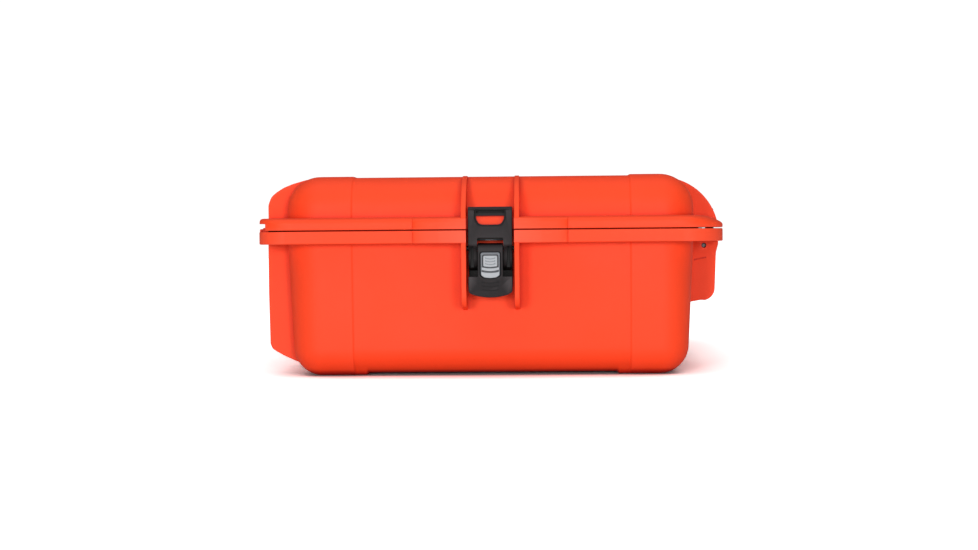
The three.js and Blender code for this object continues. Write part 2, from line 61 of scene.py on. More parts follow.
# ---- driving dimensions, in millimetres ---------------------------------------------------
FAR = 400  # clear of the whole case, for tools that cut right through it
OUT = 60  # clear of a latch, for tools that cut through one
RIM_X, RIM_Y = 249.5, 312.5  # half sizes over the rims
WALL_X, WALL_Y = 222.5, 282.5  # half sizes over the walls at the rim
BODY_X = -2  # the walls' centre
HEIGHT = 218
WALL = 3.5
DRAFT = 0.047  # wall lean, sideways for each unit of height
BODY_CORNER = 38
PAD_STEP = 1.3  # how far the corner pads stand proud
FOOT_HEIGHT = 2.6
SKIN = PAD_STEP + WALL
PAD_X, PAD_Y = 150, 212  # where the corner pads begin
FOOT_X, FOOT_Y, FOOT_TOP = 137, 199, 4  # where the feet begin, a little inside the pads
RAMP = 1.5  # half width of the slope up to a pad
BOTTOM_ROUND, TOP_ROUND = 32, 37
BOTTOM_SLOPE, TOP_SLOPE = 78, 64  # how far in from the walls the pads' slopes begin

FRONT_CORNER, HINGE_CORNER = 48, 33  # plan radii of the rims
BUMP = 7.6  # how far the rims swell out beside a latch
BUMP_FLAT, BUMP_END = 52.8, 82.3  # half lengths of a swelling's flat and of its whole
BASE_RIM_LOW, BASE_RIM_TOP, BASE_LAND_TOP = 144.5, 158.1, 158.5
LID_LAND_LOW, LID_RIM_LOW, LID_RIM_TOP = 158.8, 159.2, 172.4
LAND = 9  # width of the flats that meet round the walls
PLATE = 4.3  # thickness of the rims
TONGUE, TONGUE_TOP = (2, 5), 162.5  # from and to these distances out from the wall
GROOVE, GROOVE_TOP = (1, 6), 168
GAP = 0.3  # clearance between parts
LID_INSIDE_LOW, BASE_INSIDE_TOP = 150, 170  # where the tools that hollow the shells end

LATCH_X, LATCH_Y = 219.5, 140
BAY = 25.4  # half the clear width between a latch's ribs
RIB = 5.4
RIB_ROUND = 1.0
BAY_FACE, BASE_BAY_FACE = 26, 8  # the lid's and the base's faces between the ribs
PIVOT_U, PIVOT_Z, PIVOT_R, PIVOT_HUB = 20, 138.8, 2.5, 5.6
CLAW_U, CLAW_Z, CLAW_R, CLAW_HUB = 18, 120, 2, 4.4
LATCH_HALF, TONGUE_HALF, LATCH_FACE = 23.3, 13.3, 33.2
LATCH_PIN_HALF, CLAW_PIN_HALF = 27.2, 22.9
LEVER_BACK, LEVER_FLOOR = (9, 12), (98, 101)  # the lever is a tub: its back wall and its floor
SPRING_U, SPRING_HALF, SPRING_Z = (22.5, 23.7), 5.7, (147.2, 148.1)
SLIDE_HALF, SLIDE_LOW, SLIDE_TOP = 10.3, 107.1, 134.7
SLIDE_BACK, SLIDE_TRAVEL = 28.7, 4
SLIDE_ROOM = 0.9  # how far a slide lock stays clear of its pocket's sides
LEVER_SKIN = 0.5  # what is left of the lever's face over a slide lock's way up

AT_RIM = (140, 180)  # heights clear under and over the rims, for tools that cut or keep them
HINGE_X, HINGE_Z, HINGE_R, HINGE_PIN = -244, 158.6, 5, 2.2
HINGE_Y = (-190, 0, 190)
HINGE_HALF, KNUCKLE, HINGE_PIN_HALF = 42, 15, 36
LIP_X, LIP_LOW = -248, 166.6  # the lid's lip over the hinges
BEAD, BEAD_HALF, UPSTAND_X, UPSTAND_TOP = 4, 278, -247.2, 161.2
HANDLE_U, HANDLE_Z, HANDLE_R, HANDLE_PIN, HANDLE_DROP = 16, 136, 7, 3, 44
HANDLE_ARM, BRACKET_INNER, BRACKET_OUTER = (62.7, 78.3), (57, 62.2), (78.8, 84)
GRIP_U, GRIP_HALF = 20, 56
CROSSBAR, CROSSBAR_HALF = 6, 70
VALVE_Z, VALVE_FACE, VALVE_STEM, VALVE_KNOB, VALVE_BOSS = 52, -3.2, 7, 11, 13
EYELET_Y, EYELET_U, EYELET_IN, EYELET_OUT, EYELET_HEAD, EYELET_SEAT = 240, 16, 4, 6, 7.5, 166.4

# The shells are drawn about their own centre line: this is where it stands in the frame.
near_low, near_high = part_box("lever_pin_near_end")
CENTRE_X = (near_low.x + near_high.x) / 2 / MM


# ---- mesh tools ---------------------------------------------------------------------------
def piece_from(points, faces, name="piece"):
    """A mesh object from points in millimetres, its faces turned outwards."""
    mesh = bpy.data.meshes.new(name)
    mesh.from_pydata([Vector(p) * MM for p in points], [], faces)
    work = bmesh.new()
    work.from_mesh(mesh)
    bmesh.ops.remove_doubles(work, verts=work.verts, dist=0.002 * MM)
    bmesh.ops.recalc_face_normals(work, faces=work.faces)
    work.to_mesh(mesh)
    work.free()
    return linked(name, mesh)


def linked(name, data):
    """A new object in the scene from a mesh, a lamp or a camera."""
    made = bpy.data.objects.new(name, data)
    scene.collection.objects.link(made)
    return made


def apply(piece):
    """Turns a piece's modifiers into its mesh."""
    graph = bpy.context.evaluated_depsgraph_get()
    mesh = bpy.data.meshes.new_from_object(piece.evaluated_get(graph))
    piece.modifiers.clear()
    old = piece.data
    piece.data = mesh
    bpy.data.meshes.remove(old)
    return piece


def soften(piece, width, segments=3, angle=32):
    """Rounds off the edges that turn more than an angle."""
    bevel = piece.modifiers.new("soften", "BEVEL")
    bevel.width = width * MM
    bevel.segments = segments
    bevel.limit_method = "ANGLE"
    bevel.angle_limit = math.radians(angle)
    bevel.miter_outer = "MITER_ARC"
    return apply(piece)


def combine(body, operation, tools):
    for tool in tools:
        change = body.modifiers.new(operation, "BOOLEAN")
        change.operation = operation
        change.solver = "MANIFOLD"
        change.object = tool
    apply(body)
    for tool in tools:
        bpy.data.objects.remove(tool)
    return body


def join(body, *tools):
    return combine(body, "UNION", tools)


def cut(body, *tools):
    return combine(body, "DIFFERENCE", tools)


def gather(pieces):
    """Makes one object of pieces that don't touch each other."""
    work = bmesh.new()
    for piece in pieces:
        work.from_mesh(piece.data)
        bpy.data.objects.remove(piece)
    mesh = bpy.data.meshes.new("gathered")
    work.to_mesh(mesh)
    work.free()
    return linked("gathered", mesh)


def copied(piece, matrix=Matrix.Identity(4)):
    mesh = piece.data.copy()
    mesh.transform(matrix)
    if matrix.determinant() < 0:
        mesh.flip_normals()
    return linked(piece.name, mesh)


def repeated(piece, matrices):
    """One object of copies at several places, in place of the piece itself."""
    whole = gather([copied(piece, matrix) for matrix in matrices])
    bpy.data.objects.remove(piece)
    return whole


def moved(x=0.0, y=0.0, z=0.0):
    return Matrix.Translation(Vector((x, y, z)) * MM)


MIRROR_Y = Matrix.Scale(-1, 4, (0, 1, 0))
HERE = Matrix.Identity(4)
BOTH_SIDES = (HERE, MIRROR_Y)

# How an outline's two numbers and the length it is raised along become x, y and z.
LAYING = {
    "x": lambda a, b, h: (h, a, b),
    "y": lambda a, b, h: (a, h, b),
    "z": lambda a, b, h: (a, b, h),
}


def raised(outline, low, high, axis="z"):
    """A flat outline raised along an axis from one place to another."""
    lay = LAYING[axis]
    count = len(outline)
    points = [lay(a, b, low) for a, b in outline] + [lay(a, b, high) for a, b in outline]
    sides = [(i, (i + 1) % count, count + (i + 1) % count, count + i) for i in range(count)]
    return piece_from(points, [tuple(range(count)), tuple(range(count, 2 * count)), *sides])


def box(xs, ys, zs):
    (x0, x1), (y0, y1), (z0, z1) = xs, ys, zs
    return raised([(x0, y0), (x1, y0), (x1, y1), (x0, y1)], z0, z1)


def loft(rings):
    """A skin over matching rings of points, closed flat at both ends."""
    count = len(rings[0])
    points = [p for ring in rings for p in ring]
    last = (len(rings) - 1) * count
    faces = [tuple(range(count)), tuple(range(last, last + count))]
    for start in range(0, last, count):
        for i in range(count):
            j = (i + 1) % count
            faces.append((start + i, start + j, start + count + j, start + count + i))
    return piece_from(points, faces)


def turned(profile, axis="z", sides=40, centre=(0, 0)):
    """A profile of (radius, height) pairs turned about an axis through a centre."""
    lay = LAYING[axis]
    ca, cb = centre
    angles = [math.tau * k / sides for k in range(sides)]
    return [
        [lay(ca + r * math.cos(t), cb + r * math.sin(t), h) for t in angles] for r, h in profile
    ]


def rod(radius, low, high, axis="y", centre=(0, 0), chamfer=0.0, sides=32):
    """A round rod along an axis, with its ends rounded off a little."""
    profile = [(radius, low), (radius, high)]
    if chamfer:
        soft = 0.3 * chamfer
        start = [(radius - chamfer, low), (radius - soft, low + soft), (radius, low + chamfer)]
        profile = start + [(r, low + high - h) for r, h in reversed(start)]
    return loft(turned(profile, axis, sides, centre))


def washer(profile, centre, axis="z", sides=40):
    """A ring from a closed profile of (radius, height) pairs."""
    rings = turned(profile, axis, sides, centre)
    points = [p for ring in rings for p in ring]
    faces = []
    for k in range(len(profile)):
        start, after = k * sides, (k + 1) % len(profile) * sides
        for i in range(sides):
            j = (i + 1) % sides
            faces.append((start + i, start + j, after + j, after + i))
    return piece_from(points, faces)


# ---- outlines -----------------------------------------------------------------------------
def arc(a, b, radius, start, end, steps):
    angles = [math.radians(start + (end - start) * i / steps) for i in range(steps + 1)]
    return [(a + radius * math.cos(t), b + radius * math.sin(t)) for t in angles]


def rounded(corners, steps=6):
    """A closed outline: a corner given as (a, b, radius) is rounded, (a, b) stays sharp."""
    outline = []
    for i, (a, b, *radius) in enumerate(corners):
        corner = Vector((a, b))
        if not radius:
            outline.append((a, b))
            continue
        before = Vector(corners[i - 1][:2]) - corner
        after = Vector(corners[(i + 1) % len(corners)][:2]) - corner
        half = before.angle(after) / 2
        reach = min(radius[0] / math.tan(half), 0.49 * before.length, 0.49 * after.length)
        start, end = corner + before.normalized() * reach, corner + after.normalized() * reach
        inwards = before.normalized() + after.normalized()
        centre = corner + inwards.normalized() * (reach / math.cos(half))
        begin = start - centre
        turn = begin.angle_signed(end - centre)
        for k in range(steps + 1):
            spoke = begin.copy()
            spoke.rotate(Matrix.Rotation(-turn * k / steps, 2))
            outline.append(tuple(centre + spoke))
    return outline


def rounded_rectangle(half_x, half_y, radius, steps=12):
    corners = [(1, 1, 0), (-1, 1, 90), (-1, -1, 180), (1, -1, 270)]
    return [
        point
        for sx, sy, start in corners
        for point in arc(sx * (half_x - radius), sy * (half_y - radius), radius, start,
                         start + 90, steps)
    ]


def wall_outline(out, radius):
    outline = rounded_rectangle(WALL_X + out, WALL_Y + out, radius)
    return [(x + BODY_X, y) for x, y in outline]


def wall_ring(z, inset):
    outline = wall_outline(-inset, max(BODY_CORNER - inset, 3))
    return [(x, y, z) for x, y in outline]


ROUND_STEPS = 14  # for the rounding between a wall and a flat face


def base_rings(skin, ground, top=BASE_LAND_TOP):
    """The base's body as (height, inset) stations, drawn in by a skin thickness."""
    radius = BOTTOM_ROUND - skin
    low = (BASE_RIM_TOP - ground - radius) * DRAFT + skin
    angles = [math.radians(90 - 90 * k / ROUND_STEPS) for k in range(ROUND_STEPS + 1)]
    rings = [
        (ground + radius * (1 - math.sin(t)), low + radius * (1 - math.cos(t))) for t in angles
    ]
    return [*rings, (top, skin)]


def lid_rings(skin, top, foot=LID_LAND_LOW):
    """The lid's body as (height, inset) stations, drawn in by a skin thickness."""
    radius = TOP_ROUND - skin
    high = (top - radius - LID_RIM_TOP) * DRAFT + skin
    angles = [math.radians(90 * k / ROUND_STEPS) for k in range(ROUND_STEPS + 1)]
    rings = [
        (top - radius * (1 - math.sin(t)), high + radius * (1 - math.cos(t))) for t in angles
    ]
    return [(foot, skin), *rings]


def wall_body(rings):
    """A plain body that follows the walls' outline."""
    return loft([wall_ring(z, inset) for z, inset in rings])


def smooth(share):
    """Eases a share from 0 to 1."""
    share = min(max(share, 0), 1)
    return share * share * (3 - 2 * share)


def past(place, edge):
    """How far a place is past a pad's edge, from 0 to 1 over the slope."""
    return smooth((abs(place) - edge) / (2 * RAMP) + 0.5)


def pad_share(x, y, z):
    """How far a point of the skin stands up from the plain wall, 0, to the pads, 1."""
    pad = past(x, PAD_X) * past(y, PAD_Y)
    foot = past(x, FOOT_X) * past(y, FOOT_Y) * (1 - smooth((z - 0.5 * FOOT_TOP) / FOOT_TOP))
    return max(pad, foot)


def stations(*edges):
    """Places along a wall at which the skin needs points, to shape the slopes at the edges."""
    near = [edge + k * RAMP / 3 for edge in edges for k in range(-3, 4)]
    return [-s for s in reversed(sorted(near))] + sorted(near)


def skin_outline(inset):
    """The wall's outline with points at the pads' and the feet's edges."""
    radius = max(BODY_CORNER - inset, 3)
    x, y = WALL_X - inset, WALL_Y - inset
    flat_x, flat_y = x - radius, y - radius
    along_x = [min(max(s - BODY_X, -flat_x), flat_x) for s in stations(FOOT_X, PAD_X)]
    along_y = [min(max(s, -flat_y), flat_y) for s in stations(FOOT_Y, PAD_Y)]
    outline = [
        *arc(flat_x, flat_y, radius, 0, 90, 12),
        *[(s, y) for s in reversed(along_x)],
        *arc(-flat_x, flat_y, radius, 90, 180, 12),
        *[(-x, s) for s in reversed(along_y)],
        *arc(-flat_x, -flat_y, radius, 180, 270, 12),
        *[(s, -y) for s in along_x],
        *arc(flat_x, -flat_y, radius, 270, 360, 12),
        *[(x, s) for s in along_y],
    ]
    return [(a + BODY_X, b) for a, b in outline]


def padded_body(plain, raised_skin):
    """A body whose skin slopes up from a plain form to one that stands proud at the corners."""
    rings = []
    for (z0, inset0), (z1, inset1) in zip(plain, raised_skin):
        ring = []
        for (x0, y0), (x1, y1) in zip(skin_outline(inset0), skin_outline(inset1)):
            share = pad_share(x1, y1, z1)
            low, high = Vector((x0, y0, z0)), Vector((x1, y1, z1))
            ring.append(tuple(low.lerp(high, share)))
        rings.append(ring)
    return loft(rings)


def flat_rings(z, edge, towards):
    """Rings across a flat face from its edge inwards, close together at the pads' slopes."""
    first = [edge + (towards - edge) * k / 3 for k in (1, 2, 3)]
    return [(z, inset) for inset in first + [towards + k for k in range(1, 16)]]


def rim_outline(inset, front_inset=None, back_inset=None):
    """The rims' edge from above, drawn in by insets that can differ at the front and the back."""
    front_inset = inset if front_inset is None else front_inset
    back_inset = inset if back_inset is None else back_inset
    x, y, front = RIM_X - back_inset, RIM_Y - inset, RIM_X - front_inset
    round_x, round_y = FRONT_CORNER - front_inset, FRONT_CORNER - inset
    back = HINGE_CORNER - inset
    steps = 16
    angles = [math.radians(90 * k / steps) for k in range(steps + 1)]
    half = [(BUMP_FLAT + math.cos(t) * (BUMP_END - BUMP_FLAT), BUMP * math.sin(t)) for t in angles]
    swelling = [(-d, rise) for d, rise in half] + half[::-1]
    on_front = [(front + rise, c + d) for c in (-LATCH_Y, LATCH_Y) for d, rise in swelling]
    on_far = [(-d, y + rise) for d, rise in swelling]
    corner = [
        (front - round_x + a * round_x, y - round_y + b * round_y)
        for a, b in arc(0, 0, 1, 0, 90, 12)
    ]
    return [
        *on_front,
        *corner,
        *on_far,
        *arc(-x + back, y - back, back, 90, 180, 12),
        *arc(-x + back, -y + back, back, 180, 270, 12),
        *[(-a, -b) for a, b in on_far],
        *[(a, -b) for a, b in reversed(corner)],
    ]


def rim_loft(rings):
    """A rim from its rings: a height, and how far in it lies at the ends, front and back."""
    return loft([[(x, y, z) for x, y in rim_outline(*insets)] for z, *insets in rings])


def wall_band(inner, outer, z0, z1):
    """A band round the wall at the rim, from one distance out to another."""
    ring = raised(wall_outline(outer, BODY_CORNER + outer), z0, z1)
    return cut(ring, raised(wall_outline(inner, BODY_CORNER + inner), z0 - 1, z1 + 1))


# ---- repeated places ----------------------------------------------------------------------
def latch_matrix(x, y, turn):
    return moved(x, y) @ Matrix.Rotation(math.radians(turn), 4, "Z")


LATCHES = {
    "front_left": latch_matrix(LATCH_X, -LATCH_Y, 0),
    "front_right": latch_matrix(LATCH_X, LATCH_Y, 0),
    "near_end": latch_matrix(0, -WALL_Y, -90),
    "far_end": latch_matrix(0, WALL_Y, 90),
}
AT_LATCHES = list(LATCHES.values())
BOTH_SIDES_OF_LATCHES = [m @ side for m in AT_LATCHES for side in BOTH_SIDES]
HINGE_RIBS = [moved(y=c + side * HINGE_HALF) for c in HINGE_Y for side in (-1, 1)]
AT_HINGES = [moved(y=c) for c in HINGE_Y]
AT_FRONT = moved(LATCH_X)


# ---- the shells ---------------------------------------------------------------------------
def lid_latch_rib():
    outline = [*arc(-29.3, 150.9, 66.4, 110, 7.3, 48), (2, LID_RIM_LOW), (-40, 200)]
    return soften(raised(outline, BAY, BAY + RIB, "y"), RIB_ROUND)


def base_latch_rib():
    outline = [
        (-6, 152), (-8, 70), (-4, 73), (16, 76.5),
        *arc(18.2, 90, 14, -80, 0, 14),
        (33.8, 131), (36.3, 140), (36.3, BASE_RIM_TOP), (2, BASE_RIM_TOP),
    ]
    return soften(raised(outline, BAY, BAY + RIB, "y"), RIB_ROUND)


def base_hinge_rib():
    outline = rounded([
        (-200, 150), (-248, 150), (-248, 90), (-247, 34, 8), (-244.6, 28.5, 8), (-239, 25, 8),
        (-231, 20.5, 20), (-221, 16, 20), (-205, 9), (-195, 12),
    ])
    return soften(raised(outline, -RIB / 2, RIB / 2, "y"), RIB_ROUND)


def lid_hinge_rib():
    outline = rounded([
        (-190, 216.8), (-204.5, 215.4, 30), (-220, 211, 30), (-230, 207, 20), (-238, 202, 14),
        (-244, 197, 12), (-247.5, 188, 12), (-247.5, 168), (-210, 168), (-180, 208),
    ])
    return soften(raised(outline, -RIB / 2, RIB / 2, "y"), RIB_ROUND)


def rib_slits():
    """A shallow slanting slit in each latch rib's outer face."""
    outline = [(8.5, 121.6), (22.5, 124.4), (22.5, 126), (8.5, 123.4)]
    face = BAY + RIB
    return repeated(raised(outline, face - 1.2, face + 1, "y"), BOTH_SIDES_OF_LATCHES)


def handle_bracket(y0, y1):
    centre = HANDLE_U, HANDLE_Z
    outline = [(-8, 150), (-8, 112), (-3, 112), *arc(*centre, HANDLE_R + 1, -60, 0, 8),
               (HANDLE_U + HANDLE_R + 1, 150)]
    bracket = soften(raised(outline, y0, y1, "y"), 0.7)
    return cut(bracket, rod(HANDLE_PIN + GAP, y0 - 1, y1 + 1, "y", centre))


def eyelet_posts(radius, low=AT_RIM[0], high=AT_RIM[1]):
    """Round posts where the padlock eyelets stand, from one height to another."""
    return gather([
        rod(radius, low, high, "z", (LATCH_X + EYELET_U, side * EYELET_Y)) for side in (-1, 1)
    ])


def hinge_bores():
    along = HINGE_PIN_HALF + 0.5
    return repeated(rod(HINGE_PIN + GAP, -along, along, "y", (HINGE_X, HINGE_Z)), AT_HINGES)


def base_knuckles():
    inner, outer = KNUCKLE + GAP, HINGE_HALF - RIB / 2 + 1
    half = rod(HINGE_R, inner, outer, "y", (HINGE_X, HINGE_Z), chamfer=0.6)
    return repeated(half, [m @ side for m in AT_HINGES for side in BOTH_SIDES])


def hinge_bead():
    """The bead along the hinge line."""
    return rod(BEAD, -BEAD_HALF, BEAD_HALF, "y", (HINGE_X, HINGE_Z), chamfer=0.8)


def upstand():
    """A low wall along the base's back edge, under the lid's lip."""
    end = RIM_Y - HINGE_CORNER
    foot = BASE_RIM_TOP - PLATE
    wall = box((-RIM_X, UPSTAND_X), (-end, end), (foot, UPSTAND_TOP))
    return soften(wall, 0.9)


def pin_bores(radius, reach):
    bore = rod(radius, -reach, reach, "y", (PIVOT_U, PIVOT_Z))
    return repeated(bore, AT_LATCHES)


def base_shell():
    plain, proud = base_rings(PAD_STEP, FOOT_HEIGHT), base_rings(0, 0)
    plain = [*reversed(flat_rings(FOOT_HEIGHT, plain[0][1], BOTTOM_SLOPE)), *plain]
    proud = [*reversed(flat_rings(0, proud[0][1], BOTTOM_SLOPE)), *proud]
    rim = rim_loft([
        (BASE_RIM_LOW, 1.1), (BASE_RIM_LOW + 0.3, 0.45), (BASE_RIM_LOW + 1, 0),
        (BASE_RIM_TOP - 1.1, 0), (BASE_RIM_TOP - 0.3, 0.35), (BASE_RIM_TOP, 1.1),
    ])
    channel = raised(rim_outline(PLATE), BASE_RIM_LOW - 2, BASE_RIM_TOP - PLATE)
    brackets = gather([handle_bracket(*span) for span in (BRACKET_INNER, BRACKET_OUTER)])
    shell = join(
        cut(rim, channel),
        padded_body(plain, proud),
        wall_band(-SKIN, LAND, BASE_RIM_TOP - 1, BASE_LAND_TOP),
        wall_band(*TONGUE, BASE_RIM_TOP - 1, TONGUE_TOP),
        repeated(base_latch_rib(), BOTH_SIDES_OF_LATCHES),
        repeated(base_hinge_rib(), HINGE_RIBS),
        hinge_bead(),
        upstand(),
        base_knuckles(),
        repeated(brackets, [AT_FRONT @ side for side in BOTH_SIDES]),
        rod(VALVE_BOSS, LATCH_X - 20, LATCH_X + VALVE_FACE, "x", (0, VALVE_Z), chamfer=0.8),
    )
    bay = box((BASE_BAY_FACE, OUT), (-BAY, BAY), (BASE_RIM_LOW - 1, BASE_LAND_TOP + 1))
    across = (-KNUCKLE - GAP, KNUCKLE + GAP)
    knuckle_slot = box((-FAR, HINGE_X + 6.5), across, (BASE_RIM_LOW + 5, LID_RIM_TOP))
    return cut(
        shell,
        wall_body(base_rings(SKIN, FOOT_HEIGHT + WALL, BASE_INSIDE_TOP)),
        repeated(bay, AT_LATCHES),
        repeated(knuckle_slot, AT_HINGES),
        hinge_bores(),
        eyelet_posts(EYELET_OUT + GAP),
        rod(VALVE_STEM + GAP, LATCH_X - 30, LATCH_X + 5, "x", (0, VALVE_Z)),
        pin_bores(PIVOT_R + GAP, BAY + RIB + 2),
        rib_slits(),
    )


# The rim's top is rounded off towards its edge, most of all at the front.
LID_RIM_ROUND = [
    (LID_RIM_LOW, 0.9, 0.9, 0.9), (159.45, 0.35, 0.35, 0.35), (160.1, 0, 0, 0), (162.6, 0, 0, 0),
    (164.4, 0, 1.2, 0), (165.6, 0.05, 3, 0), (166.8, 0.2, 5.3, 0), (168, 0.55, 8, 0.1),
    (169.3, 1.2, 11, 0.35), (170.3, 2.2, 14, 0.7), (171.1, 3.8, 17, 1.2), (171.7, 6, 20, 1.8),
    (172.1, 9, 23.5, 2.7), (LID_RIM_TOP, 14, 28, 4),
]


def lid_shell():
    plain, proud = lid_rings(PAD_STEP, HEIGHT - PAD_STEP), lid_rings(0, HEIGHT)
    plain += flat_rings(HEIGHT - PAD_STEP, plain[-1][1], TOP_SLOPE)
    proud += flat_rings(HEIGHT, proud[-1][1], TOP_SLOPE)
    pad = box((-1, BAY_FACE), (-BAY - 1, BAY + 1), (LID_RIM_LOW, LID_RIM_TOP))
    shell = join(
        rim_loft(LID_RIM_ROUND),
        padded_body(plain, proud),
        wall_band(-SKIN, LAND, LID_LAND_LOW, LID_RIM_LOW + 1),
        repeated(pad, AT_LATCHES),
        repeated(lid_latch_rib(), BOTH_SIDES_OF_LATCHES),
        repeated(lid_hinge_rib(), HINGE_RIBS),
    )
    kept_solid = [
        repeated(box((0, OUT), (-BAY - RIB, BAY + RIB), AT_RIM), AT_LATCHES),
        box((-FAR, HINGE_X + 9), (-FAR, FAR), AT_RIM),
        eyelet_posts(EYELET_OUT + WALL),
        raised(wall_outline(LAND + 1, BODY_CORNER), *AT_RIM),
    ]
    channel = raised(rim_outline(PLATE, 9), LID_RIM_LOW - 2, LID_RIM_TOP - 6)
    bay = box((BAY_FACE, OUT), (-BAY, BAY), (AT_RIM[0], LID_RIM_TOP + 1))
    knuckle_room = rod(HINGE_R + 2 * GAP, -HINGE_HALF, HINGE_HALF, "y", (HINGE_X, HINGE_Z))
    shell = cut(
        shell,
        wall_body(lid_rings(SKIN, HEIGHT - PAD_STEP - WALL, LID_INSIDE_LOW)),
        wall_band(*GROOVE, AT_RIM[0], GROOVE_TOP),
        cut(channel, *kept_solid),
        repeated(bay, AT_LATCHES),
        box((-FAR, HINGE_X + BEAD + GAP), (-FAR, FAR), (AT_RIM[0], LIP_LOW)),
        box((-FAR, LIP_X), (-FAR, FAR), (AT_RIM[0], FAR)),
        eyelet_posts(EYELET_OUT + GAP),
        eyelet_posts(EYELET_HEAD + 2 * GAP, EYELET_SEAT),
        repeated(knuckle_room, AT_HINGES),
    )
    knuckle = rod(HINGE_R, -KNUCKLE, KNUCKLE, "y", (HINGE_X, HINGE_Z), chamfer=0.6)
    web = box((HINGE_X - 3, HINGE_X + 5), (-KNUCKLE, KNUCKLE), (HINGE_Z + 1, LID_RIM_TOP - 3))
    shell = join(shell, repeated(knuckle, AT_HINGES), repeated(web, AT_HINGES))
    return cut(shell, hinge_bores())


def lid_gasket():
    return wall_band(GROOVE[0] + GAP, GROOVE[1] - GAP, TONGUE_TOP + GAP, GROOVE_TOP - GAP)


# ---- latches ------------------------------------------------------------------------------
WINDOW = rounded([
    (-15, 173.2, 0.8), (-14.6, 169.5, 6), (-12, 164.9, 5), (-8, 163.9, 6),
    (8, 163.9, 6), (12, 164.9, 5), (14.6, 169.5, 6), (15, 173.2, 0.8),
])
WINDOW_RECESS = rounded([
    (-16.8, 180.2, 2.2), (-16.6, 168.6, 8), (-12.6, 162.6, 6), (-8, 161.9, 6),
    (8, 161.9, 6), (12.6, 162.6, 6), (16.6, 168.6, 8), (16.8, 180.2, 2.2),
])
FORK = TONGUE_HALF + 0.5


def claw():
    """Hooks over the lid's rim; its arms run down each side of the lever to their pin."""
    outline = [
        (14, 173.2), (27, 173.2), (27, 147), (24.6, 142), (23.7, 136), (23.5, 127),
        *arc(CLAW_U, CLAW_Z, CLAW_HUB, 60, 270, 24),
        (23, 116.6), (26.3, 121), (27.3, 128), (27.7, 132.6), (28.1, 135.6), (29, 138.2),
        (30.6, 140.4), (31.6, 141.8), (32, 143.6),
        (32, 178.4), (31.5, 180.3), (30.2, 181.8), (28.4, 182.7), (17, 182.7), (15.4, 182.3),
        (14.6, 181.4),
    ]
    plate = soften(raised(outline, -LATCH_HALF, LATCH_HALF, "y"), 0.8)
    slot = rounded([(-15.2, 175.8, 0.6), (15.2, 175.8, 0.6), (15.2, 179, 1.2), (-15.2, 179, 1.2)])
    fork = rounded([(-FORK, 100), (FORK, 100), (FORK, 150, 1.6), (-FORK, 150, 1.6)])
    groove = rounded([(17.2, 112), (21, 112), (20.6, 141.2, 1.4), (17.8, 141.2, 1.4)])
    forked = cut(
        plate,
        raised(WINDOW_RECESS, 28.6, OUT, "x"),
        raised(WINDOW, 26.5, OUT, "x"),
        raised(slot, 21, OUT, "x"),
        raised(fork, 0, OUT, "x"),
        repeated(raised(groove, 24.6, OUT, "x"), BOTH_SIDES),
        rod(CLAW_R + GAP, -OUT, OUT, "y", (CLAW_U, CLAW_Z)),
    )
    back, low = SPRING_U[0], SPRING_Z[0]
    return join(
        forked,
        box((back - 4, 27.5), (-LATCH_HALF, LATCH_HALF), (150.5, 154)),
        box((back - 4, back), (-FORK - 0.7, FORK + 0.7), (low, 151)),
    )


def lever():
    """A tub hung on its pin, with a tongue and a paddle in front and a pocket for the button."""
    tongue = [
        *arc(PIVOT_U, PIVOT_Z, PIVOT_HUB, 205, 75, 20),
        (24.6, 144), (27, 143.9), (29.3, 143.4), (31.4, 142.3), (32.7, 140.9), (33.2, 139.2),
        (33.2, 100), (27.5, 98), (25.5, 110),
        *arc(CLAW_U, CLAW_Z, CLAW_HUB, -60, -190, 20),
    ]
    tip_centre, tip_radius, tip_half = 149.5, 62.5, 20.9
    tip = arc(0, tip_centre, tip_radius, -90 - tip_half, -90 + tip_half, 32)
    left, right = tip[0], tip[-1]
    paddle = rounded([
        (-LATCH_HALF, left[1] + 1.5, 4), (left[0] + 3.5, left[1] - 1.2, 5),
        *tip[4:-4],
        (right[0] - 3.5, right[1] - 1.2, 5), (LATCH_HALF, right[1] + 1.5, 4),
        (LATCH_HALF, 109.4, 0.8), (-LATCH_HALF, 109.4, 0.8),
    ])
    blade = soften(raised(paddle, LATCH_FACE - 5.2, LATCH_FACE, "x"), 0.8)
    hub = soften(raised(tongue, -TONGUE_HALF, TONGUE_HALF, "y"), 1.2)
    half, low, high = SLIDE_HALF + SLIDE_ROOM, SLIDE_LOW - SLIDE_ROOM, SLIDE_TOP + SLIDE_ROOM
    pocket = rounded([
        (-half, low + 3.6, 3), (-7, low + 0.8, 7), (0, low, 30), (7, low + 0.8, 7),
        (half, low + 3.6, 3), (half, high, 2.8), (-half, high, 2.8),
    ])
    way_up = box((SLIDE_BACK - GAP, LATCH_FACE - LEVER_SKIN), (-half, half),
                 (SLIDE_LOW, SLIDE_TOP + SLIDE_TRAVEL + GAP))
    ridges = [
        raised(curved_bar(8.4 + 0.4 * k, z, 0.5, 1.2), LATCH_FACE - 0.8, OUT, "x")
        for k, z in enumerate((95.4, 99.4, 103.4))
    ]
    across = (-LATCH_HALF, LATCH_HALF)
    back, front = LEVER_BACK
    tub = join(
        hub,
        blade,
        soften(box(LEVER_BACK, across, (LEVER_FLOOR[0], 136)), 0.6),
        box((back, LATCH_FACE - 4), across, LEVER_FLOOR),
        box((front - 1, 15), (-12, 12), (104, 132)),
    )
    return cut(
        tub,
        raised(pocket, SLIDE_BACK - GAP, OUT, "x"),
        way_up,
        gather(ridges),
        rod(PIVOT_R + GAP, -OUT, OUT, "y", (PIVOT_U, PIVOT_Z)),
        rod(CLAW_R + GAP, -OUT, OUT, "y", (CLAW_U, CLAW_Z)),
    )


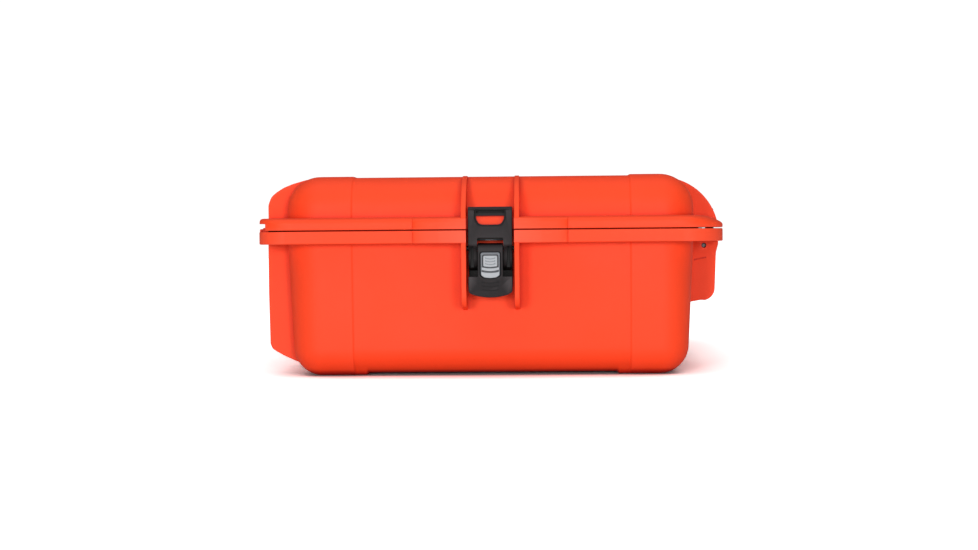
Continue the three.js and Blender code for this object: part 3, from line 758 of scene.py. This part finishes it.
def curved_bar(half, z, half_height, sag):
    """A thin bar seen from the front that bows down in the middle."""
    steps = 12
    along = [-half + 2 * half * k / steps for k in range(steps + 1)]
    low = [(y, z - half_height - sag * (1 - (y / half) ** 2)) for y in along]
    high = [(y, z + half_height - sag * (1 - (y / half) ** 2)) for y in reversed(along)]
    return low + high


def slide_lock():
    """The button: a frame with a raised edge, a square pad, a bowed strip and a thumb rest."""
    plate = rounded([
        (-SLIDE_HALF, SLIDE_LOW + 3.4, 3), (-7, SLIDE_LOW + 0.7, 7), (0, SLIDE_LOW, 30),
        (7, SLIDE_LOW + 0.7, 7), (SLIDE_HALF, SLIDE_LOW + 3.4, 3), (SLIDE_HALF, SLIDE_TOP, 2.2),
        (-SLIDE_HALF, SLIDE_TOP, 2.2),
    ])
    frame_plate = soften(raised(plate, SLIDE_BACK, LATCH_FACE - 0.7, "x"), 0.6, 3)
    sunk = rounded([(-8.6, 100), (8.6, 100), (8.6, 132.4, 2), (-8.6, 132.4, 2)])
    frame_plate = cut(frame_plate, raised(sunk, SLIDE_BACK + 0.8, OUT, "x"))
    pad = rounded([(-7.5, 119.8, 1.6), (0, 119, 20), (7.5, 119.8, 1.6), (7.5, 131.1, 1.6),
                   (-7.5, 131.1, 1.6)])
    pad = soften(raised(pad, SLIDE_BACK + 0.5, LATCH_FACE - 0.3, "x"), 0.6)
    ridges = gather([
        raised(curved_bar(5.4, z, 0.5, 1.1), LATCH_FACE - 1, OUT, "x")
        for z in (122.8, 125.8, 128.8)
    ])
    strip = raised(curved_bar(9.2, 117.6, 1.45, 1.3), SLIDE_BACK + 0.5, LATCH_FACE, "x")
    thumb = rounded([
        (-9.7, SLIDE_LOW + 3.8, 3), (-6.6, SLIDE_LOW + 1.1, 7), (0, SLIDE_LOW + 0.4, 30),
        (6.6, SLIDE_LOW + 1.1, 7), (9.7, SLIDE_LOW + 3.8, 3), (9.7, 114.3, 0.6), (6, 113.4, 8),
        (0, 113, 30), (-6, 113.4, 8), (-9.7, 114.3, 0.6),
    ])
    thumb = soften(raised(thumb, SLIDE_BACK + 0.5, LATCH_FACE, "x"), 0.5)
    return frame_plate, gather([cut(pad, ridges), soften(strip, 0.4), thumb])


def latch_spring():
    """A strip of steel on the claw that shows over the lever's hub."""
    return soften(box(SPRING_U, (-SPRING_HALF, SPRING_HALF), SPRING_Z), 0.25, 2)


# ---- handle, valve and eyelets ------------------------------------------------------------
def handle_frame():
    low = HANDLE_Z - HANDLE_DROP
    arm = [*arc(HANDLE_U, HANDLE_Z, HANDLE_R, 0, 180, 24), (10.6, low + 14), (11.2, low + 2),
           (12, low - 4), (13.6, low - 8), (16, low - 10), (24, low - 10), (26, low - 9),
           (27, low - 7), (27, low + 8), (24, low + 16)]
    arms = repeated(soften(raised(arm, *HANDLE_ARM, "y"), 1.8, 4), BOTH_SIDES)
    along = (-CROSSBAR_HALF, CROSSBAR_HALF)
    crossbar = box((GRIP_U - CROSSBAR, GRIP_U + CROSSBAR), along, (low - CROSSBAR, low + CROSSBAR))
    bore = rod(HANDLE_PIN + GAP, 50, 90, "y", (HANDLE_U, HANDLE_Z))
    return cut(join(soften(crossbar, 1), arms), repeated(bore, BOTH_SIDES))


def handle_grip():
    """The soft sleeve, with finger grooves round its back and sides."""
    centre = HANDLE_Z - HANDLE_DROP
    half_depth, half_height, corner = 10, 11, 6.5
    end_length, end_round = 2.5, 1.6
    groove_depth, groove_spacing, grooved_half = 0.45, 4, 46
    count, rings = 113, []
    for k in range(count):
        y = -GRIP_HALF + 2 * GRIP_HALF * k / (count - 1)
        from_end = min(1, (GRIP_HALF - abs(y)) / end_length)
        inset = end_round * (1 - math.sqrt(max(0, 1 - (1 - from_end) ** 2)))
        if abs(y) < grooved_half:
            inset += groove_depth * max(0, math.cos(math.tau * y / groove_spacing))
        ring = rounded_rectangle(half_depth - inset, half_height - inset, corner, 8)
        rings.append([(a + GRIP_U, y, b + centre) for a, b in ring])
    room = CROSSBAR + GAP
    bore = box((GRIP_U - room, GRIP_U + room), (-GRIP_HALF - 1, GRIP_HALF + 1),
               (centre - room, centre + room))
    return cut(loft(rings), bore)


def valve_body():
    """A knurled knob with a coin slot in its hexagon, on a stem through the wall."""
    centre = (0, VALVE_Z)
    knob = rod(VALVE_KNOB, VALVE_FACE + 2.4, 1.6, "x", centre, chamfer=0.7, sides=48)
    notch_line, notch_count = VALVE_KNOB + 0.3, 24
    notches = gather([
        rod(0.9, VALVE_FACE, 5, "x",
            (notch_line * math.cos(t), VALVE_Z + notch_line * math.sin(t)), sides=12)
        for t in (math.tau * k / notch_count for k in range(notch_count))
    ])
    stem = rod(VALVE_STEM, VALVE_FACE - 18, 0.5, "x", centre)
    hexagon = soften(raised(arc(*centre, 8, 0, 300, 5), 0, 5, "x"), 0.5)
    slot = box((3.4, 9), (-5, 5), (VALVE_Z - 0.8, VALVE_Z + 0.8))
    return cut(join(stem, knob, hexagon), notches, slot)


def valve_nut():
    hexagon = arc(0, VALVE_Z, VALVE_KNOB, 0, 300, 5)
    nut = soften(raised(hexagon, VALVE_FACE - 14, VALVE_FACE - 7.6, "x"), 0.6)
    return cut(nut, rod(VALVE_STEM + GAP, -OUT, OUT, "x", (0, VALVE_Z)))


def valve_seal():
    inner, outer = VALVE_STEM + GAP, 10
    low, high = VALVE_FACE + GAP, VALVE_FACE + 2.1
    profile = [(inner, low + 0.3), (inner, high - 0.3), (inner + 0.3, high), (outer - 0.6, high),
               (outer, high - 0.6), (outer, low + 0.6), (outer - 0.6, low), (inner + 0.3, low)]
    return washer(profile, (0, VALVE_Z), "x")


def lid_eyelet(centre):
    low, seat, top = 159.2, EYELET_SEAT + GAP, EYELET_SEAT + 1.1
    profile = [
        (EYELET_IN, low), (EYELET_OUT, low), (EYELET_OUT, seat), (EYELET_HEAD, seat),
        (EYELET_HEAD, top - 0.4), (EYELET_HEAD - 0.4, top), (EYELET_IN + 0.8, top),
        (EYELET_IN, top - 0.8),
    ]
    return washer(profile, centre)


def base_eyelet(centre):
    low, seat, top = 152.3, 153.2, 158.2
    profile = [
        (EYELET_IN, low + 0.8), (EYELET_IN + 0.8, low), (EYELET_HEAD - 0.4, low),
        (EYELET_HEAD, low + 0.4), (EYELET_HEAD, seat), (EYELET_OUT, seat), (EYELET_OUT, top),
        (EYELET_IN, top),
    ]
    return washer(profile, centre)


# ---- materials ----------------------------------------------------------------------------
def linear(red, green, blue):
    """A screen colour, 0 to 255, as the shader takes it."""
    def convert(value):
        value /= 255
        return value / 12.92 if value <= 0.04045 else ((value + 0.055) / 1.055) ** 2.4
    return (convert(red), convert(green), convert(blue), 1)


def noise_node(tree, coordinates, per_metre, detail=3.0):
    node = tree.nodes.new("ShaderNodeTexNoise")
    node.inputs["Scale"].default_value = per_metre
    node.inputs["Detail"].default_value = detail
    tree.links.new(coordinates, node.inputs["Vector"])
    return node.outputs["Fac"]


def ramp_node(tree, value, stops):
    node = tree.nodes.new("ShaderNodeValToRGB")
    node.color_ramp.elements[0].position, node.color_ramp.elements[0].color = stops[0]
    node.color_ramp.elements[1].position, node.color_ramp.elements[1].color = stops[-1]
    for position, colour in stops[1:-1]:
        node.color_ramp.elements.new(position).color = colour
    tree.links.new(value, node.inputs["Fac"])
    return node.outputs["Color"]


def mix_node(tree, factor, first, second, blend="MIX"):
    node = tree.nodes.new("ShaderNodeMix")
    node.data_type = "RGBA"
    node.blend_type = blend
    for socket, value in (("Factor", factor), ("A", first), ("B", second)):
        slot = [s for s in node.inputs if s.name == socket and s.enabled][0]
        if hasattr(value, "is_linked"):
            tree.links.new(value, slot)
        else:
            slot.default_value = value
    return [s for s in node.outputs if s.enabled][0]


def range_node(tree, value, low, high, source=(0.3, 0.7)):
    node = tree.nodes.new("ShaderNodeMapRange")
    node.inputs["From Min"].default_value, node.inputs["From Max"].default_value = source
    node.inputs["To Min"].default_value = low
    node.inputs["To Max"].default_value = high
    tree.links.new(value, node.inputs["Value"])
    return node.outputs["Result"]


def painted_shade_node(tree, tone, deep, reach, shut=0.3, clear=0.85):
    """Paints shade into a tone in recesses, from a clear share of open surroundings to a shut one.
    """
    node = tree.nodes.new("ShaderNodeAmbientOcclusion")
    node.samples = 6
    node.inputs["Distance"].default_value = reach * MM
    share = range_node(tree, node.outputs["AO"], 0, 1, (shut, clear))
    return mix_node(tree, share, mix_node(tree, 1.0, tone, deep, "MULTIPLY"), tone)


def surface(name, colour, roughness, grain, grain_depth, drift=0.05, edge=None, specular=0.5,
            metallic=0.0, brushed=None, painted_hollow_shade=None):
    """A surface with a fine grain, a slow drift of tone, painted highlights on edges and painted
    shade in recesses.
    """
    made = bpy.data.materials.new(name)
    made.use_nodes = True
    made.diffuse_color = colour
    tree = made.node_tree
    shader = tree.nodes["Principled BSDF"]
    place = tree.nodes.new("ShaderNodeTexCoord").outputs["Object"]
    if brushed:
        stretch = tree.nodes.new("ShaderNodeMapping")
        stretch.inputs["Scale"].default_value = brushed
        tree.links.new(place, stretch.inputs["Vector"])
        place = stretch.outputs["Vector"]
    fine = noise_node(tree, place, grain, 2.0)
    slow = noise_node(tree, place, 9.0, 4.0)
    dark = tuple(c * (1 - drift) for c in colour[:3]) + (1,)
    light = tuple(min(1, c * (1 + drift)) for c in colour[:3]) + (1,)
    tone = ramp_node(tree, slow, [(0.3, dark), (0.7, light)])
    speckle = ramp_node(tree, fine, [(0.25, (0.93, 0.93, 0.93, 1)), (0.75, (1, 1, 1, 1))])
    tone = mix_node(tree, 1.0, tone, speckle, "MULTIPLY")
    # Painted highlight: sharp edges, found by their pointiness, are tinted lighter.
    if edge:
        corners = tree.nodes.new("ShaderNodeNewGeometry").outputs["Pointiness"]
        edge_highlight_mask = ramp_node(tree, corners, [(0.52, (0, 0, 0, 1)), (0.62, (0.4, 0.4, 0.4, 1))])
        tone = mix_node(tree, edge_highlight_mask, tone, edge)
    # Painted shade: the tone is darkened where little of the surroundings is open.
    if painted_hollow_shade:
        tone = painted_shade_node(tree, tone, *painted_hollow_shade)
    tree.links.new(tone, shader.inputs["Base Color"])
    tree.links.new(range_node(tree, slow, roughness - 0.04, roughness + 0.04),
                   shader.inputs["Roughness"])
    shader.inputs["Metallic"].default_value = metallic
    shader.inputs["Specular IOR Level"].default_value = specular
    bump = tree.nodes.new("ShaderNodeBump")
    bump.inputs["Strength"].default_value = 0.6
    bump.inputs["Distance"].default_value = grain_depth * MM
    tree.links.new(fine, bump.inputs["Height"])
    tree.links.new(bump.outputs["Normal"], shader.inputs["Normal"])
    return made


# Below, each edge colour is a painted highlight on sharp edges and each last tuple is painted
# shade in recesses and creases.
ORANGE = surface("moulded_orange", (0.93, 0.056, 0.0085, 1), 0.62, 1400, 0.05, 0.02,
                 edge=(1, 0.16, 0.10, 1), specular=0.3, painted_hollow_shade=((0.65, 0.2, 0.15, 1), 8))
BLACK = surface("charcoal_nylon", linear(27, 22, 24), 0.5, 1600, 0.06, 0.08,
                edge=linear(84, 78, 80), specular=0.14,
                painted_hollow_shade=((0.04, 0.02, 0.02, 1), 18, 0.4, 0.95))
BUTTON = surface("silver_plastic", linear(154, 159, 164), 0.42, 2200, 0.03, 0.03,
                 edge=linear(200, 204, 208), painted_hollow_shade=((0.3, 0.3, 0.33, 1), 2.5))
BUTTON_FRAME = surface("grey_plastic", linear(86, 90, 98), 0.45, 2200, 0.03, 0.05,
                       edge=linear(150, 155, 160), painted_hollow_shade=((0.2, 0.2, 0.23, 1), 2.5))
STEEL = surface("bright_steel", linear(196, 198, 201), 0.28, 900, 0.02, 0.06,
                metallic=1.0, brushed=(3, 0.15, 3), painted_hollow_shade=((0.05, 0.04, 0.04, 1), 10, 0.55, 1))
RUBBER = surface("seal_rubber", linear(30, 30, 31), 0.8, 1200, 0.05, 0.1)
SOFT = surface("grip_rubber", linear(36, 35, 36), 0.75, 700, 0.18, 0.12)


# ---- pieces -------------------------------------------------------------------------------
def finish_piece(piece, node, body, looks, turn=HERE):
    """Puts a shape in its place in the frame, in place of a CAD node. No looks keeps its own."""
    piece.data.transform(moved(CENTRE_X) @ turn)
    piece.name = piece.data.name = f"{node}_finished"
    if looks:
        piece.data.materials.clear()
        for look in looks:
            piece.data.materials.append(look)
    piece.data.shade_smooth()
    piece.data.set_sharp_from_angle(angle=math.radians(34))
    weight = piece.modifiers.new("weight", "WEIGHTED_NORMAL")
    weight.keep_sharp = True
    weight.weight = 60
    apply(piece)
    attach(piece, body)
    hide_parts(node)


def painted(parts):
    """Joins (piece, material) pairs that don't touch into one piece that keeps both."""
    work = bmesh.new()
    for index, (piece, _) in enumerate(parts):
        first = len(work.faces)
        work.from_mesh(piece.data)
        work.faces.ensure_lookup_table()
        for face in work.faces[first:]:
            face.material_index = index
        bpy.data.objects.remove(piece)
    mesh = bpy.data.meshes.new("painted")
    work.to_mesh(mesh)
    work.free()
    for _, material in parts:
        mesh.materials.append(material)
    return linked("painted", mesh)


finish_piece(base_shell(), "base_shell", "base", [ORANGE])
finish_piece(lid_shell(), "lid_shell", "lid", [ORANGE])
finish_piece(lid_gasket(), "lid_gasket", "lid", [RUBBER])

claw_master, lever_master = claw(), lever()
button_frame, button_pads = slide_lock()
slide_master = painted([(button_frame, BUTTON_FRAME), (button_pads, BUTTON)])
spring_master = latch_spring()
for name, turn in LATCHES.items():
    lever_pin = rod(PIVOT_R, -LATCH_PIN_HALF, LATCH_PIN_HALF, "y", (PIVOT_U, PIVOT_Z), 0.4)
    claw_pin = rod(CLAW_R, -CLAW_PIN_HALF, CLAW_PIN_HALF, "y", (CLAW_U, CLAW_Z), 0.3)
    on_claw, on_lever, on_slide = f"claw_{name}", f"lever_{name}", f"slide_lock_{name}"
    finish_piece(copied(claw_master), on_claw, on_claw, [BLACK], turn)
    finish_piece(copied(lever_master), on_lever, on_lever, [BLACK], turn)
    finish_piece(copied(slide_master), on_slide, on_slide, None, turn)
    finish_piece(copied(spring_master), f"latch_spring_{name}", on_claw, [STEEL], turn)
    finish_piece(lever_pin, f"lever_pin_{name}", "base", [STEEL], turn)
    finish_piece(claw_pin, f"claw_pin_{name}", on_lever, [STEEL], turn)
for master in (claw_master, lever_master, slide_master, spring_master):
    bpy.data.objects.remove(master)

for index, y in enumerate(HINGE_Y):
    pin = rod(HINGE_PIN, y - HINGE_PIN_HALF, y + HINGE_PIN_HALF, "y", (HINGE_X, HINGE_Z), 0.4)
    finish_piece(pin, f"hinge_pin_{index + 1}", "base", [STEEL])

finish_piece(handle_frame(), "handle_frame", "handle", [BLACK], AT_FRONT)
finish_piece(handle_grip(), "handle_grip", "handle", [SOFT], AT_FRONT)
for side, name in ((-1, "left"), (1, "right")):
    ends = sorted((side * (BRACKET_INNER[0] + GAP), side * (BRACKET_OUTER[1] - GAP)))
    pin = rod(HANDLE_PIN, *ends, "y", (HANDLE_U, HANDLE_Z), 0.4)
    finish_piece(pin, f"handle_pin_{name}", "base", [STEEL], AT_FRONT)
    spot = (LATCH_X + EYELET_U, side * EYELET_Y)
    finish_piece(lid_eyelet(spot), f"lid_padlock_eyelet_{name}", "lid", [STEEL])
    finish_piece(base_eyelet(spot), f"base_padlock_eyelet_{name}", "base", [STEEL])

finish_piece(valve_body(), "valve_body", "base", [BLACK], AT_FRONT)
finish_piece(valve_nut(), "valve_nut", "base", [BLACK], AT_FRONT)
finish_piece(valve_seal(), "valve_seal", "base", [RUBBER], AT_FRONT)


# ---- floor, light and camera --------------------------------------------------------------
def floor():
    """A pale floor seen at full white except where the object shades it, plus a painted contact
    shadow.
    """
    half = 8000
    corners = [(-half, -half, 0), (half, -half, 0), (half, half, 0), (-half, half, 0)]
    made = piece_from(corners, [(0, 1, 2, 3)], "floor")
    look = bpy.data.materials.new("paper_white")
    look.use_nodes = True
    tree = look.node_tree
    tree.nodes.remove(tree.nodes["Principled BSDF"])
    paper = tree.nodes.new("ShaderNodeBsdfDiffuse")
    rays = tree.nodes.new("ShaderNodeLightPath")
    shade = tree.nodes.new("ShaderNodeAmbientOcclusion")
    shade.samples = 6
    shade.inputs["Distance"].default_value = 60 * MM
    seen = range_node(tree, rays.outputs["Is Camera Ray"], 0.9, 2.3, (0, 1))
    # Painted contact shadow: the floor is darkened close to the object.
    painted_contact_shadow = range_node(tree, shade.outputs["AO"], 0.3, 1, (0.1, 0.75))
    dim = tree.nodes.new("ShaderNodeMath")
    dim.operation = "MULTIPLY"
    tree.links.new(seen, dim.inputs[0])
    tree.links.new(painted_contact_shadow, dim.inputs[1])
    tree.links.new(dim.outputs["Value"], paper.inputs["Color"])
    tree.links.new(paper.outputs["BSDF"], tree.nodes["Material Output"].inputs["Surface"])
    made.data.materials.append(look)


def area_light(name, place, target, size, power):
    lamp = bpy.data.lights.new(name, "AREA")
    lamp.shape = "DISK"
    lamp.size = size
    lamp.energy = power
    made = linked(name, lamp)
    made.location = place
    made.rotation_euler = (Vector(target) - Vector(place)).to_track_quat("-Z", "Y").to_euler()


def sun_light(name, strength):
    lamp = bpy.data.lights.new(name, "SUN")
    lamp.energy = strength
    lamp.angle = math.radians(70)
    made = linked(name, lamp)
    made.rotation_euler = (math.radians(12), 0, 0)


def world(strength):
    """A white room, seen at full white, that lights the object less strongly."""
    made = bpy.data.worlds.new("white_room")
    made.use_nodes = True
    tree = made.node_tree
    background = tree.nodes["Background"]
    background.inputs["Color"].default_value = (1, 1, 1, 1)
    rays = tree.nodes.new("ShaderNodeLightPath")
    seen = tree.nodes.new("ShaderNodeMapRange")
    seen.inputs["To Min"].default_value = strength
    seen.inputs["To Max"].default_value = 1.05
    tree.links.new(rays.outputs["Is Camera Ray"], seen.inputs["Value"])
    tree.links.new(seen.outputs["Result"], background.inputs["Strength"])
    scene.world = made


def camera():
    """Looks at the near end almost square on, a little above the lid's rim."""
    data = bpy.data.cameras.new("camera")
    data.sensor_width = 36
    data.lens = 58.34
    data.clip_start, data.clip_end = 0.01, 50
    made = linked("camera", data)
    yaw, pitch, roll = (math.radians(angle) for angle in (1.66, 1.553, -0.5))
    aim = (Matrix.Rotation(yaw, 4, "Z") @ Matrix.Rotation(math.pi / 2 - pitch, 4, "X")
           @ Matrix.Rotation(roll, 4, "Z"))
    made.matrix_world = Matrix.Translation((0.0431, -1.9825, 0.156)) @ aim
    scene.camera = made


floor()
world(0.2)
near_end = (0, -0.28, 0.12)
area_light("left_key", (-0.72, -2.7, 0.36), near_end, 0.5, 23)
area_light("right_key", (0.72, -2.7, 0.36), near_end, 0.5, 20)
area_light("low_fill", (0, -2.8, 0.3), near_end, 0.5, 5)
sun_light("overhead", 1.2)
camera()
scene.view_settings.view_transform = "Standard"
